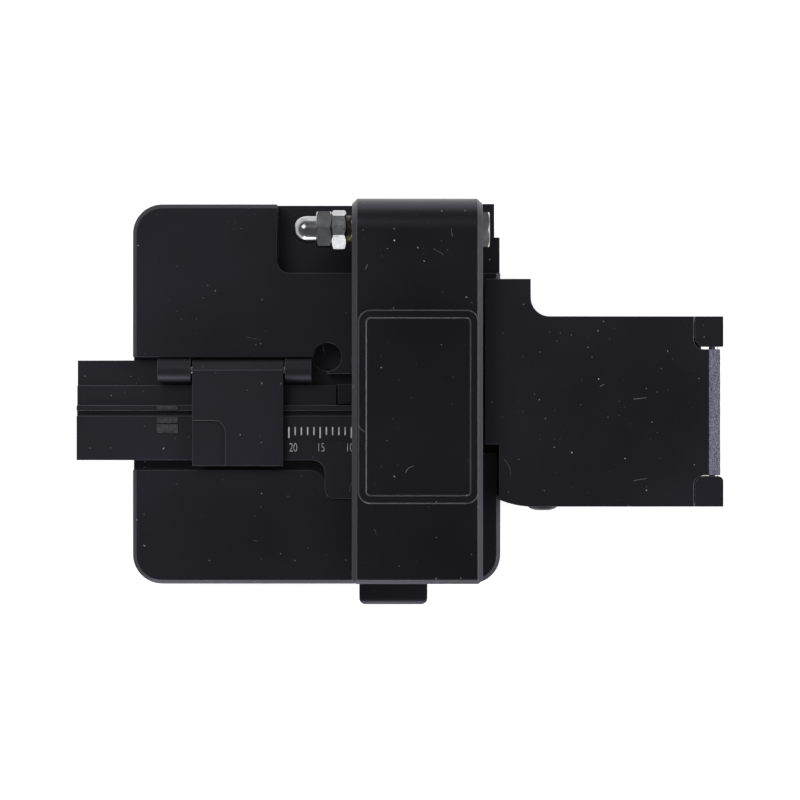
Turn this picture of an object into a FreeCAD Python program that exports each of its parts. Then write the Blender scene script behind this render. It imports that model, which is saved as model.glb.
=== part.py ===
import FreeCAD, Part

import math
import os
import re

import Sketcher
from FreeCAD import Placement, Rotation, Vector

# Fibre cleaver: a milled base with a blade slider inside, a wide arm on a rear bolt, a fibre plate with a
# small clamp flap, and a scrap collector with a hinged cover.
# Millimetres. +X right, +Y rear, +Z up. The blade cuts in the plane X = 0, the fibre lies along the line
# Y = 0, and Z = 0 is the underside of the rubber mat.

doc = FreeCAD.newDocument("fibre_cleaver")
sheet = doc.addObject("Spreadsheet::Sheet", "dims")

DIMENSIONS = {
    # base block and its mat
    "mat_thick": 1.5,
    "mat_inset": 1.2,
    "base_left": 45.2,
    "base_right": 13.95,
    "base_front": 27.4,
    "base_rear": 33.67,
    "base_tall": 36.0,
    "base_corner_round": 4.7,
    "edge_bevel": 0.6,
    # the fibre line and the channel around it
    "fibre_drop": 0.5,
    "channel_half": 9.1,
    "channel_deep": 2.9,
    "channel_end": 13.9,
    "inner_half": 6.4,
    "relief_round": 2.3,
    "relief_deep": 2.0,
    "front_pocket_deep": 3.2,
    "front_pocket_round": 3.0,
    "small_screw": 0.8,
    "small_screw_hole": 2.6,
    "foot_screw_hole": 4.0,
    "foot_screw_x": 6.0,
    "foot_screw_y": 10.6,
    "shelf_screw_x": 26.0,
    "shelf_screw_y": 2.9,
    "clamp_screw_x": 5.4,
    "clamp_screw_y": 3.35,
    "clamp_screw_head": 1.2,
    "clamp_screw_head_tall": 0.7,
    "clamp_step_gap": 0.3,
    "case_screw": 1.25,
    "case_screw_y": 9.0,
    "case_screw_drop": 15.5,
    "case_screw_hole": 5.0,
    "rail_screw_inset": 4.5,
    "rail_screw_share": 0.7,
    "keeper_deep": 5.0,
    "lug_foot_half": 8.6,
    "lug_foot_thick": 4.0,
    "lug_foot_inset": 0.95,
    "lug_foot_overhang": 0.1,
    "lug_foot_step": 0.85,
    "rear_notch_wide": 0.95,
    "rear_notch_long": 5.15,
    "lug_screw_x": 6.3,
    "lug_screw_hole": 6.0,
    "lug_screw_head": 1.9,
    "lug_screw_head_tall": 2.0,
    "hinge_side_gap": 0.1,
    "acorn_hex_thick": 2.45,
    "acorn_neck": 1.55,
    # hinge recess at the rear
    "recess_left": 22.0,
    "recess_front": 22.6,
    "recess_deep": 5.0,
    "recess_round": 2.0,
    # slider tunnel and blade slot
    "tunnel_left": 10.0,
    "tunnel_right": 4.2,
    "roof_thick": 6.5,
    "blade_clear": 0.62,
    "tunnel_rear": 22.0,
    "blade_slot_half": 1.8,
    "blade_slot_front": 25.0,
    "blade_slot_rear": 20.0,
    # arm and its hinge
    "arm_left": 9.8,
    "arm_right": 10.9,
    "arm_front": 26.9,
    "hinge_y": 29.27,
    "hinge_up": 7.5,
    "arm_round": 4.95,
    "arm_side_bevel": 0.8,
    "arm_front_bevel": 0.65,
    "arm_corner_bevel": 0.7,
    "slot_gap": 0.4,
    "slot_reach": 8.0,
    "bolt_pocket_radius": 3.4,
    "magnet_radius": 2.5,
    "magnet_tall": 4.0,
    "panel_inner_round": 0.5,
    "holder_outer": 7.8,
    "holder_half_y": 4.6,
    "anvil_nose_half": 0.8,
    "arm_cavity_half_x": 8.2,
    "arm_cavity_half_y": 5.6,
    "arm_cavity_deep": 4.2,
    "panel_wide": 19.1,
    "panel_long": 30.7,
    "panel_centre_x": 0.7,
    "panel_centre_y": 1.1,
    "panel_rim": 1.2,
    "panel_thick": 0.5,
    "panel_sink": 0.3,
    "panel_round": 1.5,
    "lug_wide": 8.0,
    "lug_round": 3.2,
    "lug_neck_half": 2.2,
    "lug_foot_half_y": 4.0,
    "open_angle": 60.0,
    "lug_gap": 0.35,
    "bolt_radius": 1.5,
    "running_gap": 0.05,
    "hex_flats": 5.5,
    "acorn_turn": 56.0,
    "nut_turn": 18.0,
    "bolt_head_turn": 2.0,
    "hinge_washer_radius": 2.2,
    "hinge_washer_thick": 0.42,
    "hinge_nut_thick": 2.3,
    "bolt_head_tall": 2.0,
    "bolt_head_proud": 1.13,
    "acorn_dome_radius": 2.12,
    # clamps, pads and anvil beside the blade
    "clamp_inner": 2.2,
    "clamp_outer": 8.6,
    "clamp_half_y": 4.7,
    "clamp_pad_half_y": 2.0,
    "clamp_step": 12.2,
    "pad_thick": 0.8,
    "pad_gap": 0.13,
    "anvil_half_x": 1.1,
    "anvil_half_y": 2.2,
    "anvil_rise": 0.4,
    "keeper_x": 7.4,
    "keeper_y": 21.0,
    "keeper_radius": 2.0,
    "keeper_gap": 0.35,
    # fibre plate
    "plate_left": 54.2,
    "plate_right": 9.1,
    "plate_rear": 8.55,
    "plate_front": 7.5,
    "plate_rise": 0.6,
    "plate_ledge_y": 4.5,
    "plate_ledge_drop": 2.5,
    "plate_shelf_y": 1.3,
    "plate_shelf_drop": 1.5,
    "groove_rear": 0.45,
    "groove_front": 0.4,
    "groove_deep": 1.1,
    "foot_left": 14.3,
    "foot_right": 3.4,
    "foot_front": 13.7,
    "foot_round": 1.6,
    "foot_hollow_round": 2.1,
    "foot_lap": 0.4,
    "plate_screw_long": 3.5,
    "guide_pad_left": 41.3,
    "guide_pad_right": 37.9,
    "guide_pad_thick": 0.25,
    "guide_pad_edge": 0.2,
    "guide_pad_narrow": 0.65,
    "guide_pad_middle": 0.9,
    "guide_pad_wide": 1.4,
    "flap_step_round": 2.0,
    "flap_pad_inset": 1.5,
    "flap_pad_half": 1.6,
    "flap_pad_sink": 0.8,
    "flap_pad_proud": 0.2,
    "flap_magnet_y": 5.6,
    "flap_magnet_radius": 1.5,
    "flap_magnet_tall": 1.0,
    # flap over the fibre plate
    "flap_left": 35.5,
    "flap_right": 20.95,
    "flap_rear": 8.6,
    "flap_front": 8.4,
    "flap_thick": 1.7,
    "flap_gap": 0.3,
    "flap_step_x": 30.2,
    "flap_step_y": 1.1,
    "flap_step_deep": 0.5,
    "knuckle_left": 41.1,
    "knuckle_right": 16.4,
    "knuckle_gap": 0.3,
    "flap_axis_y": 6.96,
    "knuckle_round": 1.85,
    "flap_pin_radius": 0.6,
    # slider, rail and blade
    "slide_x": 3.3,
    "rail_wide": 5.0,
    "rail_tall": 3.5,
    "rail_front": 24.0,
    "rail_rear": 21.0,
    "carriage_wide": 12.0,
    "carriage_long": 17.0,
    "carriage_under": 1.5,
    "carriage_top": 6.0,
    "slide_gap": 0.05,
    "blade_y": 8.0,
    "blade_radius": 10.0,
    "blade_thick": 0.8,
    "blade_rise": 0.02,
    "blade_bore": 3.0,
    "block_left": 9.2,
    "block_right": 2.6,
    "block_front": 15.6,
    "block_rear": 21.2,
    "block_foot": 4.4,
    "block_wall": 9.6,
    "block_bevel": 0.5,
    "holder_left": 3.9,
    "holder_right": 0.9,
    "holder_gap": 0.5,
    "holder_front": 9.0,
    "holder_end": 2.4,
    "holder_rise": 2.9,
    "spindle_boss": 4.0,
    "spindle_flange": 4.4,
    "pivot_back": 9.6,
    "pivot_up": 3.0,
    "pivot_radius": 1.0,
    "height_screw_front": 7.2,
    "height_screw_radius": 1.0,
    "blade_ground": 1.2,
    "blade_screw_radius": 1.5,
    "blade_screw_head": 3.8,
    "blade_screw_tall": 1.15,
    "carriage_rear": 20.0,
    "rail_groove": 0.4,
    "rail_screw_head": 1.4,
    "rail_screw_sink": 0.9,
    "knob_neck_half": 3.6,
    "knob_neck_rise": 2.0,
    "knob_screw_up": 0.8,
    "knob_screw_head": 2.75,
    "knob_screw_sink": 2.2,
    "knob_screw_hole": 8.0,
    "knob_left": 8.9,
    "knob_right": 2.3,
    "knob_front": 31.5,
    "knob_up": 2.6,
    "knob_tall": 14.0,
    "knob_gap": 0.5,
    "knob_edge": 1.1,
    # scrap collector
    "case_gap": 0.02,
    "case_long": 32.03,
    "case_rear": 14.75,
    "case_front": 14.35,
    "case_rise": 3.8,
    "case_tall": 29.3,
    "case_wall": 1.4,
    "case_corner_round": 13.2,
    "corner_reach": 5.05,
    "case_screw_wall": 2.6,
    "case_screw_head": 2.3,
    "case_screw_head_tall": 2.0,
    "bin_out": 14.05,
    "bin_round": 1.5,
    "chamber_gap": 0.6,
    "entry_half": 4.0,
    "entry_drop": 1.5,
    "cover_lap": 2.55,
    "cover_step_lap": 0.35,
    "cover_step_y": 4.9,
    "cover_rear": 15.53,
    "cover_front": 14.85,
    "cover_thick": 1.6,
    "cover_gap": 0.1,
    "cover_corner_round": 13.7,
    "tab_rear": 21.5,
    "tab_out": 4.72,
    "tab_round": 3.0,
    "ear_lap": 1.13,
    "ear_long": 4.55,
    "ear_wide": 4.85,
    "ear_gap": 0.4,
    "ear_line": 0.15,
    "ear_undercut": 0.65,
    "ear_round": 1.5,
    "ear_outer_round": 0.8,
    "ear_deep": 1.4,
    "ear_reach": 4.0,
    "cover_pin_out": 1.99,
    "cover_pin_drop": 2.2,
    "cover_pin_radius": 0.75,
    "pin_inset": 0.5,
    "cover_bevel_out": 1.12,
    "cover_end_out": 3.02,
    "barrel_reach": 1.65,
    "barrel_foot": 0.6,
    "barrel_drop": 1.25,
    "roller_out": 6.95,
    "feed_radius": 4.0,
    "feed_half": 9.0,
    "feed_axle_radius": 1.5,
    "pinch_radius": 1.8,
    "pinch_half": 7.0,
    "pinch_axle_radius": 0.6,
    "pinch_gap": 0.12,
    "pinch_side_gap": 0.3,
    "pinch_lug_wide": 1.6,
    "pinch_lug_half": 1.8,
    "pinch_lug_drop": 1.3,
    "axle_head_radius": 2.8,
    "axle_head_tall": 1.32,
}

for row, (alias, number) in enumerate(DIMENSIONS.items(), start=1):
    sheet.set(f"A{row}", alias)
    sheet.set(f"B{row}", str(number))
    sheet.setAlias(f"B{row}", alias)
doc.recompute()

WORD = re.compile(r"\b[a-z]\w*\b")


def bound(expression):
    """Write the sheet's name before each dimension in an expression."""
    return WORD.sub(lambda hit: "dims." + hit.group() if hit.group() in DIMENSIONS else hit.group(),
                    str(expression))


def value(expression):
    """Work out an expression from the sheet."""
    result = sheet.evalExpression(bound(expression))
    return float(getattr(result, "Value", result))


def bind(item, **expressions):
    """Bind properties such as Length or Placement__Base__x to expressions."""
    for name, expression in expressions.items():
        item.setExpression(name.replace("__", "."), bound(expression))


# Heights and places that several pieces share.
TABLE = "(mat_thick + base_tall)"
FIBRE = f"({TABLE} - fibre_drop)"
CHANNEL = f"({TABLE} - channel_deep)"
RECESS = f"({TABLE} - recess_deep)"
HINGE_Z = f"({TABLE} + hinge_up)"
ARM_LOW = f"({HINGE_Z} - arm_round)"
ARM_TOP = f"({HINGE_Z} + arm_round)"
BLADE_Z = f"({FIBRE} + blade_rise - blade_radius)"
TUNNEL_ROOF = f"({TABLE} - roof_thick)"
TUNNEL_FLOOR = f"({BLADE_Z} - blade_radius - blade_clear - block_foot - carriage_top)"
RAIL_SCREW_DEEP = f"(({TUNNEL_FLOOR} - mat_thick) * rail_screw_share)"
CASE_LEFT = "(base_right + case_gap)"
CASE_END = "(base_right + case_long)"
CASE_TOP = f"({TABLE} + case_rise)"
CASE_LOW = f"({CASE_TOP} - case_tall)"
COVER_LOW = f"({CASE_TOP} + cover_gap)"
COVER_TOP = f"({COVER_LOW} + cover_thick)"

nodes = []


def keep(item, label):
    """Name a finished sub-part and put it on the list of nodes."""
    item.Label = label
    nodes.append(item)
    return item


def sketch_on(body, plane, level, shift=("0", "0")):
    """A sketch on one of the body's origin planes, moved to a level along the row axis."""
    base = next(item for item in body.Origin.OriginFeatures if item.Role == plane + "_Plane")
    sketch = body.newObject("Sketcher::SketchObject", body.Name + "_sketch")
    sketch.AttachmentSupport = [(base, "")]
    sketch.MapMode = "FlatFace"
    sign = "-" if plane == "XZ" else ""
    bind(sketch, AttachmentOffset__Base__x=shift[0], AttachmentOffset__Base__y=shift[1],
         AttachmentOffset__Base__z=f"{sign}({level})")
    return sketch


def tie(sketch, kind, expression, item, point):
    """Hold a point of the sketch at a distance from the sketch's origin."""
    position = sketch.addConstraint(Sketcher.Constraint(kind, -1, 1, item, point, value(expression)))
    sketch.setExpression(f"Constraints[{position}]", bound(expression))


def draw_polygon(sketch, points):
    """Draw a closed outline whose corners are bound to pairs of expressions."""
    places = [Vector(value(x), value(y), 0) for x, y in points]
    first = sketch.GeometryCount
    count = len(points)
    for index in range(count):
        sketch.addGeometry(Part.LineSegment(places[index], places[(index + 1) % count]))
    for index in range(count):
        joined = first + (index + 1) % count
        sketch.addConstraint(Sketcher.Constraint("Coincident", first + index, 2, joined, 1))
    for index, (x, y) in enumerate(points):
        tie(sketch, "DistanceX", x, first + index, 1)
        tie(sketch, "DistanceY", y, first + index, 1)


def draw_circle(sketch, centre, radius):
    """Draw a circle bound to expressions."""
    middle = Vector(value(centre[0]), value(centre[1]), 0)
    ring = sketch.addGeometry(Part.Circle(middle, Vector(0, 0, 1), value(radius)))
    tie(sketch, "DistanceX", centre[0], ring, 3)
    tie(sketch, "DistanceY", centre[1], ring, 3)
    position = sketch.addConstraint(Sketcher.Constraint("Radius", ring, value(radius)))
    sketch.setExpression(f"Constraints[{position}]", bound(radius))


def draw(sketch, outlines):
    """Draw polygons (lists of points) and circles (centre, radius)."""
    for outline in outlines:
        if isinstance(outline, tuple):
            draw_circle(sketch, *outline)
        else:
            draw_polygon(sketch, outline)


def new_body(label):
    return doc.addObject("PartDesign::Body", label)


def pad(body, plane, outlines, low, high):
    """Extrude outlines between two levels along the plane's row axis."""
    sketch = sketch_on(body, plane, high if plane == "XZ" else low)
    draw(sketch, outlines)
    feature = body.newObject("PartDesign::Pad", body.Name + "_extrusion")
    feature.Profile = sketch
    bind(feature, Length=f"({high}) - ({low})")
    doc.recompute()
    return feature


def pocket(body, plane, outlines, low, high):
    """Cut outlines away between two levels, and see that material went."""
    before = body.Shape.Volume
    sketch = sketch_on(body, plane, low if plane == "XZ" else high)
    draw(sketch, outlines)
    feature = body.newObject("PartDesign::Pocket", body.Name + "_cutout")
    feature.Profile = sketch
    bind(feature, Length=f"({high}) - ({low})")
    doc.recompute()
    if body.Shape.Volume >= before:
        raise RuntimeError(f"{feature.Name} cut nothing")
    return feature


def oblong(left, right, front, rear):
    """The four corners of a rectangle."""
    return [(left, front), (right, front), (right, rear), (left, rear)]


def edges_through(shape, points):
    """Names of the edges that pass through the given places."""
    spots = [Part.Vertex(*(value(part) for part in point)) for point in points]
    return [f"Edge{index}" for index, edge in enumerate(shape.Edges, start=1)
            if any(edge.distToShape(spot)[0] < 1e-4 for spot in spots)]


def edges_at_level(shape, axis, level):
    """Names of the edges that lie in the plane at a level along an axis (0, 1 or 2)."""
    mark = value(level)
    names = []
    for index, edge in enumerate(shape.Edges, start=1):
        box = edge.BoundBox
        low = (box.XMin, box.YMin, box.ZMin)[axis]
        high = (box.XMax, box.YMax, box.ZMax)[axis]
        if abs(low - mark) < 1e-4 and abs(high - mark) < 1e-4:
            names.append(f"Edge{index}")
    return names


def dress(body, kind, size, edges):
    """Fillet or chamfer named edges of the body's last feature."""
    base = body.Tip
    feature = body.newObject("PartDesign::" + kind, body.Name + "_" + kind.lower())
    feature.Base = (base, edges)
    bind(feature, **{"Radius" if kind == "Fillet" else "Size": size})
    doc.recompute()
    return feature


def round_corners(body, size, points):
    return dress(body, "Fillet", size, edges_through(body.Tip.Shape, points))


def turned(label, axis, centre, profile):
    """A body of revolution about a row axis; the profile is (along the axis, radius) pairs."""
    body = new_body(label)
    if axis == "X":
        sketch = sketch_on(body, "XZ", centre[1], ("0", centre[2]))
        line = "H_Axis"
    elif axis == "Y":
        sketch = sketch_on(body, "YZ", centre[0], ("0", centre[2]))
        line = "H_Axis"
    else:
        sketch = sketch_on(body, "XZ", centre[1], (centre[0], "0"))
        profile = [(radius, along) for along, radius in profile]
        line = "V_Axis"
    draw_polygon(sketch, profile)
    feature = body.newObject("PartDesign::Revolution", label + "_turn")
    feature.Profile = sketch
    feature.ReferenceAxis = (sketch, [line])
    doc.recompute()
    return body


ALONG = {"X": Rotation(Vector(0, 1, 0), 90), "Y": Rotation(Vector(1, 0, 0), -90), "Z": Rotation()}


def place(item, where, turn=Rotation()):
    item.Placement = Placement(Vector(0, 0, 0), turn)
    bind(item, Placement__Base__x=where[0], Placement__Base__y=where[1], Placement__Base__z=where[2])


def block(name, low, high):
    """A Part::Box between two corners."""
    item = doc.addObject("Part::Box", name)
    bind(item, Length=f"({high[0]}) - ({low[0]})", Width=f"({high[1]}) - ({low[1]})",
         Height=f"({high[2]}) - ({low[2]})")
    place(item, low)
    return item


def rod(name, axis, where, radius, length):
    """A Part::Cylinder that starts at a place and runs along +axis."""
    item = doc.addObject("Part::Cylinder", name)
    bind(item, Radius=radius, Height=length)
    place(item, where, ALONG[axis])
    return item


def hexagon(name, axis, where, flats, length, twist=0):
    """A Part::Prism of six sides, by its width across flats."""
    item = doc.addObject("Part::Prism", name)
    item.Polygon = 6
    bind(item, Circumradius=f"({flats}) / 2 / cos(30 deg)", Height=length)
    place(item, where, ALONG[axis].multiply(Rotation(Vector(0, 0, 1), twist)))
    return item


def joined(name, pieces):
    item = doc.addObject("Part::MultiFuse", name)
    item.Shapes = pieces
    return item


def less(name, base, *tools):
    """The base with each tool cut away."""
    for index, tool in enumerate(tools):
        item = doc.addObject("Part::Cut", f"{name}_cut{index}" if index < len(tools) - 1 else name)
        item.Base = base
        item.Tool = tool
        base = item
    return base


def group(name, pieces):
    item = doc.addObject("Part::Compound", name)
    item.Links = pieces
    return item


def cap_screw(name, axis, seat, sign, thread, head, head_tall, length, socket=True):
    """A screw: the head stands on the seat and points along sign * axis, with a hexagon socket in it."""
    step = {"X": 0, "Y": 1, "Z": 2}[axis]

    def along(distance):
        where = list(seat)
        where[step] = f"({seat[step]}) + ({distance})"
        return tuple(where)

    head_start = "0" if sign > 0 else f"-({head_tall})"
    shank_start = f"-({length})" if sign > 0 else "0"
    socket_start = f"({head_tall}) / 2" if sign > 0 else f"-({head_tall})"
    head_part = rod(name + "_head", axis, along(head_start), head, head_tall)
    shank = rod(name + "_shank", axis, along(shank_start), thread, length)
    if not socket:
        return joined(name, [head_part, shank])
    key = hexagon(name + "_key", axis, along(socket_start), head, f"({head_tall}) / 2")
    return less(name, joined(name + "_whole", [head_part, shank]), key)


# --- Base block, mat and what is fixed to them ---

MID_BASE = "mat_thick + base_tall / 2"
ARM_MIDDLE = "(arm_right - arm_left) / 2"
SCREW_SPOTS = {
    "foot": ("-foot_screw_x", "-foot_screw_y"),
    "shelf": ("-shelf_screw_x", "shelf_screw_y"),
}
CLAMP_SPOTS = [(f"{side} * clamp_screw_x", "clamp_screw_y") for side in (-1, 1)]
LUG_SPOTS = [(f"{ARM_MIDDLE} + {side} * lug_screw_x", "hinge_y") for side in (-1, 1)]
CASE_SPOTS = [(f"{side} * case_screw_y", f"{TABLE} - case_screw_drop") for side in (-1, 1)]
RAIL_SPOTS = ["rail_rear - rail_screw_inset", "-rail_front + rail_screw_inset"]


def make_base():
    body = new_body("base_body")
    pad(body, "XY", [oblong("-base_left", "base_right", "-base_front", "base_rear")], "mat_thick", TABLE)
    corners = [(x, y, MID_BASE) for x in ("-base_left", "base_right") for y in ("-base_front", "base_rear")]
    round_corners(body, "base_corner_round", corners)
    dress(body, "Chamfer", "edge_bevel", edges_at_level(body.Tip.Shape, 2, TABLE))
    over = f"{TABLE} + 1"
    recess = oblong("-recess_left", "base_right + 1", "recess_front", "base_rear + 1")
    pocket(body, "XY", [recess], RECESS, over)
    notch = oblong("base_right - rear_notch_wide", "base_right + 1",
                   "base_rear - rear_notch_long", "base_rear + 1")
    pocket(body, "XY", [notch], "mat_thick - 1", over)
    round_corners(body, "recess_round", [("-recess_left", "recess_front", f"({TABLE} + {RECESS}) / 2")])
    channel = [
        ("-base_left - 1", "-channel_half"),
        ("-channel_end", "-channel_half"),
        ("-channel_end", "-channel_half - front_pocket_deep"),
        ("-clamp_outer", "-channel_half - front_pocket_deep"),
        ("-clamp_outer", "-inner_half"),
        ("base_right + 1", "-inner_half"),
        ("base_right + 1", "inner_half"),
        ("-channel_end", "inner_half"),
        ("-channel_end", "channel_half"),
        ("-base_left - 1", "channel_half"),
    ]
    pocket(body, "XY", [channel], CHANNEL, over)
    middle = f"({TABLE} + {CHANNEL}) / 2"
    round_corners(body, "front_pocket_round", [("-channel_end", "-channel_half", middle)])
    relief = (("-channel_end", "channel_half"), "relief_round")
    pocket(body, "XY", [relief], f"{CHANNEL} - relief_deep", over)
    pocket(body, "XZ", [oblong("-tunnel_left", "tunnel_right", TUNNEL_FLOOR, TUNNEL_ROOF)],
           "-base_front - 1", "tunnel_rear")
    slot = oblong("-blade_slot_half", "blade_slot_half", "-blade_slot_front", "blade_slot_rear")
    pocket(body, "XY", [slot], f"{TUNNEL_ROOF} - 1", over)
    pocket(body, "XY", [(spot, "small_screw") for spot in CLAMP_SPOTS + [SCREW_SPOTS["shelf"]]],
           f"{CHANNEL} - small_screw_hole", CHANNEL)
    pocket(body, "XY", [(SCREW_SPOTS["foot"], "small_screw")], f"{TABLE} - foot_screw_hole", TABLE)
    pocket(body, "XY", [(("keeper_x", "-keeper_y"), "keeper_radius")], f"{TABLE} - keeper_deep", TABLE)
    pocket(body, "XY", [(spot, "bolt_radius") for spot in LUG_SPOTS], f"{RECESS} - lug_screw_hole", RECESS)
    pocket(body, "XY", [(("-slide_x", y), "small_screw") for y in RAIL_SPOTS],
           f"{TUNNEL_FLOOR} - {RAIL_SCREW_DEEP}", TUNNEL_FLOOR)
    pocket(body, "YZ", [(spot, "case_screw") for spot in CASE_SPOTS],
           "base_right - case_screw_hole", "base_right")
    return keep(body, "base_body")


def make_mat():
    body = new_body("rubber_mat")
    pad(body, "XY", [oblong("-base_left + mat_inset", "base_right - mat_inset", "-base_front + mat_inset",
                            "base_rear - mat_inset")], "0", "mat_thick")
    corners = [(x, y, "mat_thick / 2") for x in ("-base_left + mat_inset", "base_right - mat_inset")
               for y in ("-base_front + mat_inset", "base_rear - mat_inset")]
    round_corners(body, "base_corner_round - mat_inset", corners)
    return keep(body, "rubber_mat")


def make_hinge_block():
    body = new_body("hinge_block")
    pad(body, "XY", [oblong(f"{ARM_MIDDLE} - lug_foot_half", f"{ARM_MIDDLE} + lug_foot_half",
                            "hinge_y - lug_foot_half_y", "hinge_y + lug_foot_half_y")],
        RECESS, f"{RECESS} + lug_foot_thick")
    pad(body, "XY", [oblong(ARM_MIDDLE, "base_right - lug_foot_inset",
                            "hinge_y - lug_foot_step", "base_rear + lug_foot_overhang")],
        RECESS, f"{RECESS} + lug_foot_thick")
    low, high = f"{ARM_MIDDLE} - lug_wide / 2", f"{ARM_MIDDLE} + lug_wide / 2"
    pad(body, "YZ", [oblong("hinge_y - lug_neck_half", "hinge_y + lug_neck_half",
                            f"{RECESS} + lug_foot_thick / 2", HINGE_Z)], low, high)
    pad(body, "YZ", [(("hinge_y", HINGE_Z), "lug_round")], low, high)
    pocket(body, "YZ", [(("hinge_y", HINGE_Z), "bolt_radius")], f"{low} - 1", f"{high} + 1")
    pocket(body, "XY", [(spot, "bolt_radius") for spot in LUG_SPOTS], RECESS, f"{RECESS} + lug_foot_thick")
    return keep(body, "hinge_block")


def screw_group(label, axis, spots, sign, thread, head, head_tall, length, socket=True):
    """Identical screws at several seats, as one node."""
    screws = [cap_screw(f"{label}_{index}", axis, spot, sign, thread, head, head_tall, length, socket)
              for index, spot in enumerate(spots)]
    return keep(group(label, screws) if len(screws) > 1 else screws[0], label)


def chamfered_nut(name, start, length, twist):
    """A hexagon along +X whose corners are turned off at both ends."""
    blank = hexagon(name + "_hexagon", "X", (start, "hinge_y", HINGE_Z), "hex_flats", length, twist)
    corner = "hex_flats / 2 / cos(30 deg)"
    flank = "hex_flats / 2 * 0.97"
    rise = f"({corner} - {flank}) * tan(30 deg)"
    lens = turned(name + "_lens", "X", ("0", "hinge_y", HINGE_Z), [
        (start, "0"), (start, flank), (f"({start}) + {rise}", corner),
        (f"({start}) + ({length}) - {rise}", corner), (f"({start}) + ({length})", flank),
        (f"({start}) + ({length})", "0")])
    item = doc.addObject("Part::Common", name + "_blank")
    item.Base = blank
    item.Tool = lens
    return item


WASHER_END = "-(arm_left + hinge_side_gap + 2 * hinge_washer_thick)"
NUT_END = f"({WASHER_END} - hinge_nut_thick)"
ACORN_SHOULDER = f"({NUT_END} - acorn_hex_thick)"
HEAD_SEAT = "(arm_right + bolt_head_proud - bolt_head_tall)"


def make_hinge_hardware():
    head = chamfered_nut("hinge_bolt_head", HEAD_SEAT, "bolt_head_tall", value("bolt_head_turn"))
    shank = rod("hinge_bolt_shank", "X", (ACORN_SHOULDER, "hinge_y", HINGE_Z), "bolt_radius",
                f"{HEAD_SEAT} - {ACORN_SHOULDER}")
    keep(joined("hinge_bolt", [head, shank]), "hinge_bolt")
    washers = [less(f"hinge_washer_{index}",
                    rod(f"hinge_washer_disc_{index}", "X",
                        (f"{WASHER_END} + {index} * hinge_washer_thick", "hinge_y", HINGE_Z),
                        "hinge_washer_radius", "hinge_washer_thick"),
                    shank) for index in range(2)]
    keep(group("hinge_washers", washers), "hinge_washers")
    nut = chamfered_nut("hinge_nut", NUT_END, "hinge_nut_thick", value("nut_turn"))
    keep(less("hinge_nut", nut, shank), "hinge_nut")
    dome = turned("acorn_dome", "X", ("0", "hinge_y", HINGE_Z), [
        (ACORN_SHOULDER, "0"), (ACORN_SHOULDER, "acorn_dome_radius"),
        (f"{ACORN_SHOULDER} - acorn_neck", "acorn_dome_radius"), (f"{ACORN_SHOULDER} - acorn_neck", "0")])
    ball = doc.addObject("Part::Sphere", "acorn_ball")
    bind(ball, Radius="acorn_dome_radius")
    place(ball, (f"{ACORN_SHOULDER} - acorn_neck", "hinge_y", HINGE_Z))
    hexagonal = chamfered_nut("acorn_nut", ACORN_SHOULDER, "acorn_hex_thick", value("acorn_turn"))
    keep(less("acorn_nut", joined("acorn_whole", [hexagonal, dome, ball]), shank), "acorn_nut")


def make_clamp(label, side):
    """A lower clamp block; the left one has a step that reaches out behind the fibre plate."""
    low, high = ("-clamp_outer", "-clamp_inner") if side < 0 else ("clamp_inner", "clamp_outer")
    body = new_body(label)
    pad(body, "XY", [oblong(low, high, "-clamp_half_y", "clamp_half_y")], CHANNEL, f"{FIBRE} - pad_thick")
    if side < 0:
        pad(body, "XY", [oblong("-clamp_step", "-clamp_outer + 0.1", "plate_shelf_y + clamp_step_gap",
                                "clamp_half_y")], CHANNEL, f"{FIBRE} - pad_thick")
    holes = [spot for spot in CLAMP_SPOTS if spot[0].startswith(f"{side} ")]
    pocket(body, "XY", [(spot, "small_screw") for spot in holes], CHANNEL, f"{FIBRE} - pad_thick")
    return keep(body, label)


def make_lower_pads():
    """A rubber pad on each lower clamp, level with the fibre."""
    low = f"{FIBRE} - pad_thick"
    for side, left, right in (("left", "-clamp_outer", "-clamp_inner"), ("right", "clamp_inner", "clamp_outer")):
        name = f"lower_pad_{side}"
        keep(block(name, (left, "-clamp_pad_half_y", low), (right, "clamp_pad_half_y", FIBRE)), name)


make_base()
make_mat()
make_hinge_block()
screw_group("hinge_block_screws", "Z", [(x, y, f"{RECESS} + lug_foot_thick") for x, y in LUG_SPOTS], 1,
            "bolt_radius", "lug_screw_head", "lug_screw_head_tall", "lug_foot_thick + lug_screw_hole")
make_hinge_hardware()
make_clamp("lower_clamp_left", -1)
make_clamp("lower_clamp_right", 1)
make_lower_pads()
screw_group("clamp_screws", "Z", [(x, y, f"{FIBRE} - pad_thick") for x, y in CLAMP_SPOTS], 1, "small_screw",
            "clamp_screw_head", "clamp_screw_head_tall",
            f"{FIBRE} - pad_thick - {CHANNEL} + small_screw_hole", socket=False)
keep(rod("keeper_pin", "Z", ("keeper_x", "-keeper_y", f"{TABLE} - keeper_deep"), "keeper_radius",
         f"{ARM_LOW} - keeper_gap - {TABLE} + keeper_deep"), "keeper_pin")


# --- Arm, its top panel, the upper clamps, the anvil and the magnet ---

ARM_CAVITY = f"({ARM_LOW} + arm_cavity_deep)"
SLOT_LOW = f"{ARM_MIDDLE} - lug_wide / 2 - lug_gap"
SLOT_HIGH = f"{ARM_MIDDLE} + lug_wide / 2 + lug_gap"


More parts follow.
